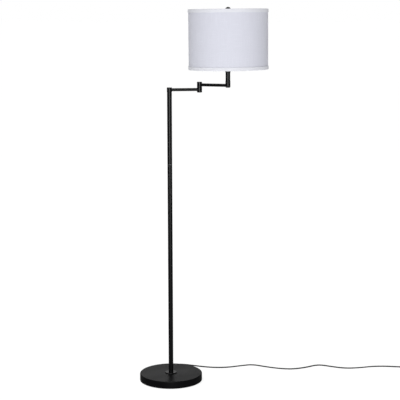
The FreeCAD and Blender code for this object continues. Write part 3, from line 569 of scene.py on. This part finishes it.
def loftedBody(name, stations, centre, material, count=56):
    # rounded sections, one behind another along -Y, closed at both ends
    points = []
    for distance, halfWide, halfHigh, roundness in stations:
        for step in range(count):
            angle = 2 * math.pi * step / count
            c, s = math.cos(angle), math.sin(angle)
            points.append(centre + Vector((
                halfWide * math.copysign(abs(c) ** (2 / roundness), c), -distance,
                halfHigh * math.copysign(abs(s) ** (2 / roundness), s))) / 1000)
    return meshPiece(name, points, tubeFaces(len(stations), count), material, sharpAngle=50)


relief = {"Root": 0.005, "Tip": 0.0032, "Length": 0.022, "Start": Vector(millimetres(0, 129, 8)), "Ribs": 6,
          "Groove": 0.0009, "Bore": 0.0026, "Columns": 49, "Rows": 121,
          "Finish": finish["mouldedVinylBlack"]}
# the collar against the skirt, in millimetres
flange = {"outside": 127.0, "thickness": 2.0, "radius": 6.5, "backBore": 4.9, "frontBore": 4.6,
          "height": 8.0, "round": 0.6, "roundMiddle": 0.18}
plug = {
    "start": millimetres(1044.05, 102, 7), "reliefRoot": 0.0046, "reliefTip": 0.003, "reliefLength": 0.0245,
    "reliefRibs": 7,
    # distance from the start, half width, half height and how square the section is
    "stations": [(24, 4.2, 4.2, 2), (24.3, 5.0, 4.8, 2.1), (25, 6.4, 5.6, 2.3), (28, 9.6, 6.5, 2.8),
                 (32, 11.6, 7, 3.2), (35.5, 12, 7, 3.4), (37.5, 11.8, 6.75, 3.4), (39.5, 11.2, 6.3, 3.4),
                 (43, 11.2, 6.3, 3.4), (45, 11.8, 6.75, 3.5), (46.5, 12, 7, 3.6), (49, 12, 7, 3.6),
                 (49.6, 11.8, 6.8, 3.6), (50, 11.2, 6.2, 3.6)],
    "grips": {"Count": 7, "Spacing": 0.0022, "Radius": 0.00055, "Length": 0.0042, "Rise": 0.0063},
    "gripAt": 41.3,
    # the blades start inside the face, and each has a rounded tip and a hole
    "bladeThick": 1.5, "bladeWide": 6.4, "bladeLong": 17.0, "bladeApart": 12.7, "bladeRoot": 1.0,
    "bladeTip": 1.2, "bladeMiddle": 0.45, "hole": 1.5, "holeFromTip": 3.6,
}


def reliefFlange(name, facts, material, count=64):
    # the collar outside the skirt, with a rounded outer edge
    inner, outer = facts["outside"], facts["outside"] + facts["thickness"]
    radius = facts["radius"]
    rings = [(inner, facts["backBore"]), (inner, radius), (outer - facts["round"], radius),
             (outer - facts["roundMiddle"], radius - facts["roundMiddle"]),
             (outer, radius - facts["round"]), (outer, facts["frontBore"])]
    points, faces = [], []
    for y, reach in rings:
        for step in range(count):
            angle = 2 * math.pi * step / count
            points.append(Vector((reach * math.cos(angle), y,
                                  facts["height"] + reach * math.sin(angle))) / 1000)
    for at in range(len(rings)):
        for step in range(count):
            after, beyond = (step + 1) % count, (at + 1) % len(rings)
            faces.append((at * count + step, beyond * count + step,
                          beyond * count + after, at * count + after))
    return meshPiece(name, points, faces, material)


def plugBlades(name, facts, material):
    # two flat pins with rounded tips and a hole through each
    points, faces = [], []
    start = Vector(facts["start"]) * 1000
    face = start.y - facts["stations"][-1][0]
    half, long, hole = facts["bladeWide"] / 2, facts["bladeLong"], facts["hole"]
    root, tip = facts["bladeRoot"], facts["bladeTip"]
    middle, end = root - facts["bladeMiddle"] * long, tip - long
    outline = [(-half, root), (half, root), (half, middle), (half, end)]
    outline += [(half - tip + tip * math.cos(a), end - tip * math.sin(a))
                for a in (math.pi / 6, math.pi / 3, math.pi / 2)]
    outline += [(-x, y) for x, y in reversed(outline[3:])] + [(-half, middle)]
    count = len(outline)
    ring = []
    for x, y in outline:
        away = Vector((x, y - (facts["holeFromTip"] - long))).normalized() * hole
        ring.append((away.x, away.y + facts["holeFromTip"] - long))
    for side in (1, -1):
        first = len(points)
        for x in (-facts["bladeThick"] / 2, facts["bladeThick"] / 2):
            for loop in (outline, ring):
                points += [Vector((start.x + side * facts["bladeApart"] / 2 + x, face + y,
                                   start.z + z)) / 1000 for z, y in loop]
        for step in range(count):
            after = (step + 1) % count
            a, b, c, d = (first + lap * count for lap in range(4))
            faces += [(a + step, a + after, b + after, b + step), (c + after, c + step, d + step, d + after),
                      (a + after, a + step, c + step, c + after), (b + step, b + after, d + after, d + step)]
    piece = meshPiece(name, points, faces, material)
    built = bmesh.new()
    built.from_mesh(piece.data)
    bmesh.ops.recalc_face_normals(built, faces=built.faces)
    built.to_mesh(piece.data)
    built.free()
    return piece


taperTree = ribbedTaperTree()
baseRelief = grownPiece("baseRelief", taperTree, relief)
baseCollar = reliefFlange("baseReliefCollar", flange, finish["mouldedVinylBlack"])
plugStart = Vector(plug["start"])
plugRelief = grownPiece("plugRelief", taperTree, {
    **relief, "Root": plug["reliefRoot"], "Tip": plug["reliefTip"], "Length": plug["reliefLength"],
    "Ribs": plug["reliefRibs"], "Start": plugStart - Vector((0, plug["reliefLength"], 0))})
plugBody = loftedBody("plugBody", plug["stations"], plugStart, finish["mouldedVinylBlack"])
plugGrips = grownPiece("plugGrips", gripRibsTree(), {
    **plug["grips"], "Finish": finish["mouldedVinylBlack"],
    "Middle": plugStart - Vector((0, plug["gripAt"] / 1000, 0))})
plugPins = plugBlades("plugBlades", plug, finish["nickelPlatedWire"])
for piece in (baseRelief, baseCollar, plugRelief, plugBody, plugGrips, plugPins):
    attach(piece, "stand")
for piece, node in ((baseRelief, "cord_strain_relief"), (baseCollar, "cord_strain_relief"),
                    (plugRelief, "plug_body"), (plugBody, "plug_body"), (plugGrips, "plug_body"),
                    (plugPins, "plug_blades")):
    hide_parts(node)
print("strain reliefs and plug made")


# the painted highlight band of bright steel at the pole's top joint, in metres
joint = {"proud": 0.00035, "wide": 0.0016, "below": 0.0012}


def jointEdgeTree():
    # a thin rounded band round the pole
    tree, known = newTree("jointEdge", {"Float": ("Radius", "Proud", "Wide"), "Vector": ("Place",),
                                        "Material": ("Finish",)})
    ring = addNode(tree, "GeometryNodeCurvePrimitiveCircle", {"Resolution": 96},
                   {"Radius": known["Radius"]})
    bead = addNode(tree, "GeometryNodeCurvePrimitiveCircle", {"Resolution": 12, "Radius": 1.0})
    halfWide = addNode(tree, "ShaderNodeMath", {"operation": "DIVIDE"}, {0: known["Wide"], 1: 2.0})
    oval = addNode(tree, "ShaderNodeCombineXYZ", links={0: known["Proud"], 1: halfWide, 2: 1.0})
    shaped = addNode(tree, "GeometryNodeTransform", links={"Geometry": bead, "Scale": oval})
    band = addNode(tree, "GeometryNodeCurveToMesh", links={"Curve": ring, "Profile Curve": shaped})
    placed = addNode(tree, "GeometryNodeTransform", links={"Geometry": band, "Translation": known["Place"]})
    return closeTree(tree, known, placed)


sectionLow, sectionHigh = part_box("pole_section_3")
poleEdges = grownPiece("poleJointEdges", jointEdgeTree(), {
    "Radius": (sectionHigh.x - sectionLow.x) / 2, "Proud": joint["proud"], "Wide": joint["wide"],
    "Place": Vector((0, 0, sectionHigh.z - joint["below"])), "Finish": finish["jointHighlightSteel"]},
    sharpAngle=180)
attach(poleEdges, "stand")
print("joint edge made")


# the shade: cloth laminated to a styrene drum, with a folded tape round each rim
weave = {
    "swayScale": 45.0, "swayShare": 0.8,  # threads wander by most of their width, about every 20 mm
    "follow": 0.45,  # the share of a thread's height that follows the one it crosses
    "slubRound": 0.05, "slubUp": 0.08,  # length of the thicker places in metres
    "slubRange": {"From Min": 0.5, "From Max": 0.8}, "slubTint": 0.5, "slubHeight": 0.6,
    "looks": {"Roughness": 0.85, "Specular IOR Level": 0.25, "Sheen Weight": 0.12, "Sheen Roughness": 0.5},
}


def wovenCloth(name, facts):
    # plain-weave cotton: matt, the threads cross over and under, a few are thicker; thread spacing is drawn
    # about twice as coarse as the real 0.6 mm so that it shows close up
    material, tree, shader = newFinish(name)
    thread, follow = facts["thread"], weave["follow"]
    uv = addNode(tree, "ShaderNodeUVMap", {"uv_map": "UVMap"})
    sway = addNode(tree, "ShaderNodeTexNoise", {"Scale": weave["swayScale"], "Detail": 2.0}, {"Vector": uv})
    shift = addNode(tree, "ShaderNodeVectorMath",
                    {"operation": "SCALE", "Scale": thread * weave["swayShare"]}, {0: sway.outputs["Color"]})
    moved = addNode(tree, "ShaderNodeVectorMath", {"operation": "ADD"}, {0: uv, 1: shift})
    counted = addNode(tree, "ShaderNodeVectorMath", {"operation": "SCALE", "Scale": 1 / thread}, {0: moved})
    parts = addNode(tree, "ShaderNodeSeparateXYZ", links={0: counted})
    known = {"X": parts.outputs["X"], "Y": parts.outputs["Y"]}
    for step, operation, *values in (
            ("warpTurn", "MULTIPLY", "X", math.pi), ("warpSwing", "SINE", "warpTurn"),
            ("weftTurn", "MULTIPLY", "Y", math.pi), ("weftSwing", "SINE", "weftTurn"),
            ("warp", "ABSOLUTE", "warpSwing"), ("weft", "ABSOLUTE", "weftSwing"),
            ("onWeft", "MULTIPLY_ADD", "weft", follow, 1 - follow), ("warpOver", "MULTIPLY", "warp", "onWeft"),
            ("onWarp", "MULTIPLY_ADD", "warp", follow, 1 - follow), ("weftOver", "MULTIPLY", "weft", "onWarp")):
        known[step] = addNode(tree, "ShaderNodeMath", {"operation": operation},
                              {at: known.get(value, value) for at, value in enumerate(values)})
    turns = addNode(tree, "ShaderNodeTexChecker", {"Scale": 1.0}, {"Vector": counted}).outputs["Fac"]
    known["height"] = addNode(tree, "ShaderNodeMix", {"data_type": "FLOAT"},
                              {0: turns, 2: known["warpOver"], 3: known["weftOver"]})
    # thicker threads: long streaks, one thread wide, round the drum and up it
    for step, stretch in (("slubRound", (1 / weave["slubRound"], 1 / thread, 0)),
                          ("slubUp", (1 / thread, 1 / weave["slubUp"], 0))):
        drawn = addNode(tree, "ShaderNodeVectorMath", {"operation": "MULTIPLY", 1: stretch}, {0: uv})
        streak = addNode(tree, "ShaderNodeTexNoise", {"Scale": 1.0, "Detail": 2.0}, {"Vector": drawn})
        known[step] = addNode(tree, "ShaderNodeMapRange", weave["slubRange"], {"Value": streak})
    # the colour is darker in the low gaps between threads, painted shade, and lighter along the thick threads
    for step, operation, *values in (
            ("slub", "MAXIMUM", "slubRound", "slubUp"), ("halfHeight", "MULTIPLY", "height",
                                                         1 - weave["slubTint"]),
            ("lit", "MULTIPLY_ADD", "slub", weave["slubTint"], "halfHeight"),
            ("raised", "MULTIPLY_ADD", "slub", weave["slubHeight"], "height")):
        known[step] = addNode(tree, "ShaderNodeMath", {"operation": operation},
                              {at: known.get(value, value) for at, value in enumerate(values)})
    dressShader(tree, shader, {**facts, **weave["looks"]}, known["lit"], known["raised"])
    return material


def roundDrum(tree, known, liftBefore, liftAfter):
    # how far round the drum each point of a flat sheet comes, and how its end rises on to its start
    for name, operation, *values in (
            ("girth", "MULTIPLY", "Radius", 2 * math.pi), ("length", "ADD", "girth", "Overlap"),
            ("distance", "MULTIPLY", "X", "length"), ("turn", "DIVIDE", "distance", "Radius"),
            ("handed", "MULTIPLY", "turn", "Up"), ("angle", "ADD", "Seam Angle", "handed"),
            ("cosine", "COSINE", "angle"), ("sine", "SINE", "angle"),
            ("liftFrom", "SUBTRACT", "girth", liftBefore), ("liftTo", "ADD", "girth", liftAfter)):
        known[name] = addNode(tree, "ShaderNodeMath", {"operation": operation},
                              {at: known.get(value, value) for at, value in enumerate(values)})
    known["lift"] = addNode(tree, "ShaderNodeMapRange", {"interpolation_type": "SMOOTHSTEP"},
                            {"Value": known["distance"], "From Min": known["liftFrom"],
                             "From Max": known["liftTo"], "To Max": known["Step"]})


def wrappedClothTree():
    # a grid bent round the drum; its end lies over its start at the seam
    tree, known = newTree("wrappedCloth", {
        "Float": ("Radius", "Bottom", "Height", "Overlap", "Step", "Waviness", "Seam Angle", "Up"),
        "Vector": ("Centre",), "Int": ("Columns", "Rows"), "Material": ("Finish",)})
    grid = flatGrid(tree, known)
    roundDrum(tree, known, shade["liftBefore"], shade["liftAfter"])
    known["rise"] = addNode(tree, "ShaderNodeMath", {"operation": "MULTIPLY"},
                            {0: known["Y"], 1: known["Height"]})
    around = addNode(tree, "ShaderNodeCombineXYZ",
                     links={0: known["cosine"], 1: known["sine"], 2: known["rise"]})
    known["soft"] = addNode(tree, "ShaderNodeTexNoise", {"Scale": shade["waveScale"], "Detail": 1.0},
                            {"Vector": around})
    for name, operation, *values in (
            ("swing", "SUBTRACT", "soft", 0.5), ("wave", "MULTIPLY", "swing", "Waviness"),
            ("lifted", "ADD", "Radius", "lift"), ("radius", "ADD", "lifted", "wave"),
            ("height", "ADD", "rise", "Bottom")):
        known[name] = addNode(tree, "ShaderNodeMath", {"operation": operation},
                              {at: known.get(value, value) for at, value in enumerate(values)})
    return closeTree(tree, known, bentRound(tree, known, grid, "rise"))


def foldedTapeTree():
    # a strip that goes round the rim: outside band, fold over the edge, short return inside
    tree, known = newTree("foldedTape", {
        "Float": ("Radius", "Rim", "Up", "Outside", "Fold", "Inside", "Overlap", "Step", "Unevenness",
                  "Seam Angle"),
        "Vector": ("Centre",), "Int": ("Columns", "Rows"), "Material": ("Finish",)})
    grid = flatGrid(tree, known)
    roundDrum(tree, known, shade["tapeLift"], 0.0)
    for name, operation, *values in (
            ("arc", "MULTIPLY", "Fold", math.pi), ("bands", "ADD", "Outside", "Inside"),
            ("width", "ADD", "bands", "arc"), ("across", "MULTIPLY", "Y", "width"),
            ("past", "SUBTRACT", "across", "Outside"), ("short", "SUBTRACT", "Outside", "across"),
            ("below", "MAXIMUM", "short", 0.0), ("foldEnd", "ADD", "Outside", "arc"),
            ("over", "SUBTRACT", "across", "foldEnd"), ("behind", "MAXIMUM", "over", 0.0),
            ("edge", "DIVIDE", "below", "Outside")):
        known[name] = addNode(tree, "ShaderNodeMath", {"operation": operation},
                              {at: known.get(value, value) for at, value in enumerate(values)})
    known["share"] = addNode(tree, "ShaderNodeMath", {"operation": "DIVIDE", "use_clamp": True},
                             {0: known["past"], 1: known["arc"]})
    ring = addNode(tree, "ShaderNodeCombineXYZ", links={0: known["cosine"], 1: known["sine"]})
    known["hand"] = addNode(tree, "ShaderNodeTexNoise", {"Scale": shade["handScale"], "Detail": 2.0},
                            {"Vector": ring})
    for name, operation, *values in (
            ("turned", "MULTIPLY", "share", math.pi), ("out", "COSINE", "turned"),
            ("down", "SINE", "turned"), ("folded", "ADD", "Fold", "lift"), ("reach", "MULTIPLY", "folded", "out"),
            ("radius", "ADD", "Radius", "reach"), ("drop", "MULTIPLY", "folded", "down"),
            ("flat", "ADD", "below", "behind"), ("fall", "ADD", "flat", "Fold"),
            ("hang", "SUBTRACT", "drop", "fall"), ("swing", "SUBTRACT", "hand", 0.5),
            ("wander", "MULTIPLY", "swing", "Unevenness"), ("uneven", "MULTIPLY", "wander", "edge"),
            ("level", "ADD", "hang", "uneven"), ("facing", "MULTIPLY", "level", "Up"),
            ("height", "ADD", "facing", "Rim")):
        known[name] = addNode(tree, "ShaderNodeMath", {"operation": operation},
                              {at: known.get(value, value) for at, value in enumerate(values)})
    return closeTree(tree, known, bentRound(tree, known, grid, "across"))


drumLow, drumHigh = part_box("shade_drum")
trimLow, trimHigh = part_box("shade_trims")
shadeCentre = Vector(((drumLow.x + drumHigh.x) / 2, (drumLow.y + drumHigh.y) / 2, 0))
shadeRadius = (drumHigh.x - drumLow.x) / 2
shade = {
    "sheetWall": 0.00045, "clothWall": 0.0005, "overlap": 0.012, "seamAngle": math.radians(68),
    "waviness": 0.0004,
    "tape": 0.0145, "tapeReturn": 0.007, "tapeWall": 0.0018, "tapeFold": 0.0013, "tapeUnevenness": 0.0006,
    "tapeSink": 0.0004, "tapeOverlap": 0.01, "tapeSeamOn": 0.05,  # its seam is so far on from the cloth's
    "linerGap": 0.0005, "linerPlay": 0.00005, "linerStep": 0.000045,
    # the end of each strip rises on to its start over these lengths
    "liftBefore": 0.005, "liftAfter": 0.001, "tapeLift": 0.004,
    "waveScale": 3.2, "handScale": 6.0,
    "lean": math.radians(0.45),  # it sits a touch askew on its spider, right side up
    "columns": 360, "clothRows": 24, "tapeRows": 22, "clothThread": 0.0013, "tapeThread": 0.0011,
}
finish["cottonShadeCloth"] = wovenCloth("cottonShadeCloth", {
    "colours": ("#bdbec8", "#cecfd9"), "thread": shade["clothThread"], "height": 0.00012})
finish["cottonRimTape"] = wovenCloth("cottonRimTape", {
    "colours": ("#c6c7cd", "#d7d8df"), "thread": shade["tapeThread"], "height": 0.0001})
clothTree = wrappedClothTree()
tapeTree = foldedTapeTree()
drum = {"Centre": shadeCentre, "Up": 1.0, "Bottom": drumLow.z, "Height": drumHigh.z - drumLow.z,
        "Columns": shade["columns"], "Rows": shade["clothRows"], "Seam Angle": shade["seamAngle"],
        "Waviness": shade["waviness"]}
shadeLiner = grownPiece("shadeLiner", clothTree, {
    **drum, "Radius": shadeRadius - shade["clothWall"] - shade["linerPlay"], "Step": shade["linerStep"],
    "Overlap": -shade["linerGap"], "Finish": finish["styreneSheet"]})
thickened(shadeLiner, shade["sheetWall"], -1)
shadeCloth = grownPiece("shadeCloth", clothTree, {
    **drum, "Radius": shadeRadius, "Step": shade["clothWall"], "Overlap": shade["overlap"],
    "Finish": finish["cottonShadeCloth"]})
thickened(shadeCloth, shade["clothWall"], -1)
tapes = []
for name, rim, direction in (("topRimTape", trimHigh.z, 1.0), ("bottomRimTape", trimLow.z, -1.0)):
    tape = grownPiece(name, tapeTree, {
        "Radius": shadeRadius - shade["tapeSink"], "Rim": rim - direction * shade["tapeWall"] / 2,
        "Up": direction, "Outside": shade["tape"] - shade["tapeWall"] - shade["tapeFold"],
        "Fold": shade["tapeFold"],
        "Inside": shade["tapeReturn"] - shade["tapeFold"], "Overlap": shade["tapeOverlap"],
        "Step": shade["tapeWall"], "Unevenness": shade["tapeUnevenness"], "Centre": shadeCentre,
        "Seam Angle": shade["seamAngle"] + shade["tapeSeamOn"], "Columns": shade["columns"],
        "Rows": shade["tapeRows"], "Finish": finish["cottonRimTape"]}, sharpAngle=70)
    thickened(tape, shade["tapeWall"], 0)
    tapes.append(tape)
askew = (Matrix.Translation(shadeCentre + Vector((0, 0, drumHigh.z)))
         @ Matrix.Rotation(-shade["lean"], 4, "Y"))
askew = askew @ Matrix.Translation(-shadeCentre - Vector((0, 0, drumHigh.z)))
for piece in (shadeLiner, shadeCloth, *tapes):
    piece.data.transform(askew)
    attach(piece, "outer_arm")
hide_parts("shade_drum")
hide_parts("shade_drum")
for tape in tapes:
    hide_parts("shade_trims")
print("shade made")


# the floor, the sky and the lights; what the lamp mirrors is toned down, as dark screens would do
stage = {"floor": "#959595", "mirrored": "#5a5a5a", "glow": "#ffffff", "glowMirrored": "#484848",
         "size": 1600.0, "sky": (1.0, 1.0, 1.0, 1), "skyLight": 0.24, "skyMirrored": 0.1,
         "floorGlow": 0.785, "roughness": 0.9, "specular": 0.1}
floorMesh = bpy.data.meshes.new("studioFloor")
half = stage["size"] / 2
floorMesh.from_pydata([(-half, -half, 0), (half, -half, 0), (half, half, 0), (-half, half, 0)], [],
                      [(0, 1, 2, 3)])
floor = bpy.data.objects.new("studioFloor", floorMesh)
scene.collection.objects.link(floor)
floorPaint, tree, shader = newFinish("mattFloorPaint")
mirrored = addNode(tree, "ShaderNodeLightPath").outputs["Is Glossy Ray"]
paint = addNode(tree, "ShaderNodeMix", {"data_type": "RGBA", 6: linearColour(stage["floor"]),
                                        7: linearColour(stage["mirrored"])}, {0: mirrored})
tree.links.new(paint.outputs[2], shader.inputs["Base Color"])
shader.inputs["Roughness"].default_value = stage["roughness"]
shader.inputs["Specular IOR Level"].default_value = stage["specular"]
# a pale floor lit from below, so that it runs into the white behind it
glow = addNode(tree, "ShaderNodeMix", {"data_type": "RGBA", 6: linearColour(stage["glow"]),
                                       7: linearColour(stage["glowMirrored"])}, {0: mirrored})
tree.links.new(glow.outputs[2], shader.inputs["Emission Color"])
shader.inputs["Emission Strength"].default_value = stage["floorGlow"]
floorMesh.materials.append(floorPaint)

world = bpy.data.worlds.new("studioWorld")
scene.world = world
world.use_nodes = True
tree = world.node_tree
tree.nodes.clear()
seen = addNode(tree, "ShaderNodeBackground", {"Color": stage["sky"], "Strength": 1.0})
cast = addNode(tree, "ShaderNodeBackground", {"Color": stage["sky"], "Strength": stage["skyLight"]})
dimmed = addNode(tree, "ShaderNodeBackground", {"Color": stage["sky"], "Strength": stage["skyMirrored"]})
rays = addNode(tree, "ShaderNodeLightPath")
mirrors = addNode(tree, "ShaderNodeMixShader", links={0: rays.outputs["Is Glossy Ray"], 1: cast, 2: dimmed})
mixed = addNode(tree, "ShaderNodeMixShader", links={0: rays.outputs["Is Camera Ray"], 1: mirrors, 2: seen})
addNode(tree, "ShaderNodeOutputWorld", links={"Surface": mixed})

# a wide soft source overhead, a big softbox in front that lights up the pole, and a weak one behind
lights = {
    "overhead": {"kind": "SUN", "place": (-0.5, -0.2, 3.0), "aim": (0, 0, 0), "power": 1.6, "angle": 50},
    "frontBox": {"kind": "AREA", "place": (0.2, -3.4, 1.0), "aim": (0.15, 0, 1.1), "size": 1.0,
                 "tall": 1.4, "power": 70},
    "backBox": {"kind": "AREA", "place": (0.0, 4.2, 1.5), "aim": (0.0, 0, 0.2), "size": 2.6, "tall": 1.2,
                "power": 9},
}
for name, facts in lights.items():
    lamp = bpy.data.lights.new(name, facts["kind"])
    lamp.energy = facts["power"]
    if facts["kind"] == "SUN":
        lamp.angle = math.radians(facts["angle"])
    else:
        lamp.shape = "RECTANGLE"
        lamp.size = facts["size"]
        lamp.size_y = facts["tall"]
    holder = bpy.data.objects.new(name, lamp)
    holder.location = facts["place"]
    holder.rotation_euler = (Vector(facts["place"]) - Vector(facts["aim"])).to_track_quat("Z",
                                                                                          "Y").to_euler()
    holder.visible_camera = False
    scene.collection.objects.link(holder)
scene.view_settings.view_transform = "Standard"
print("studio lit")
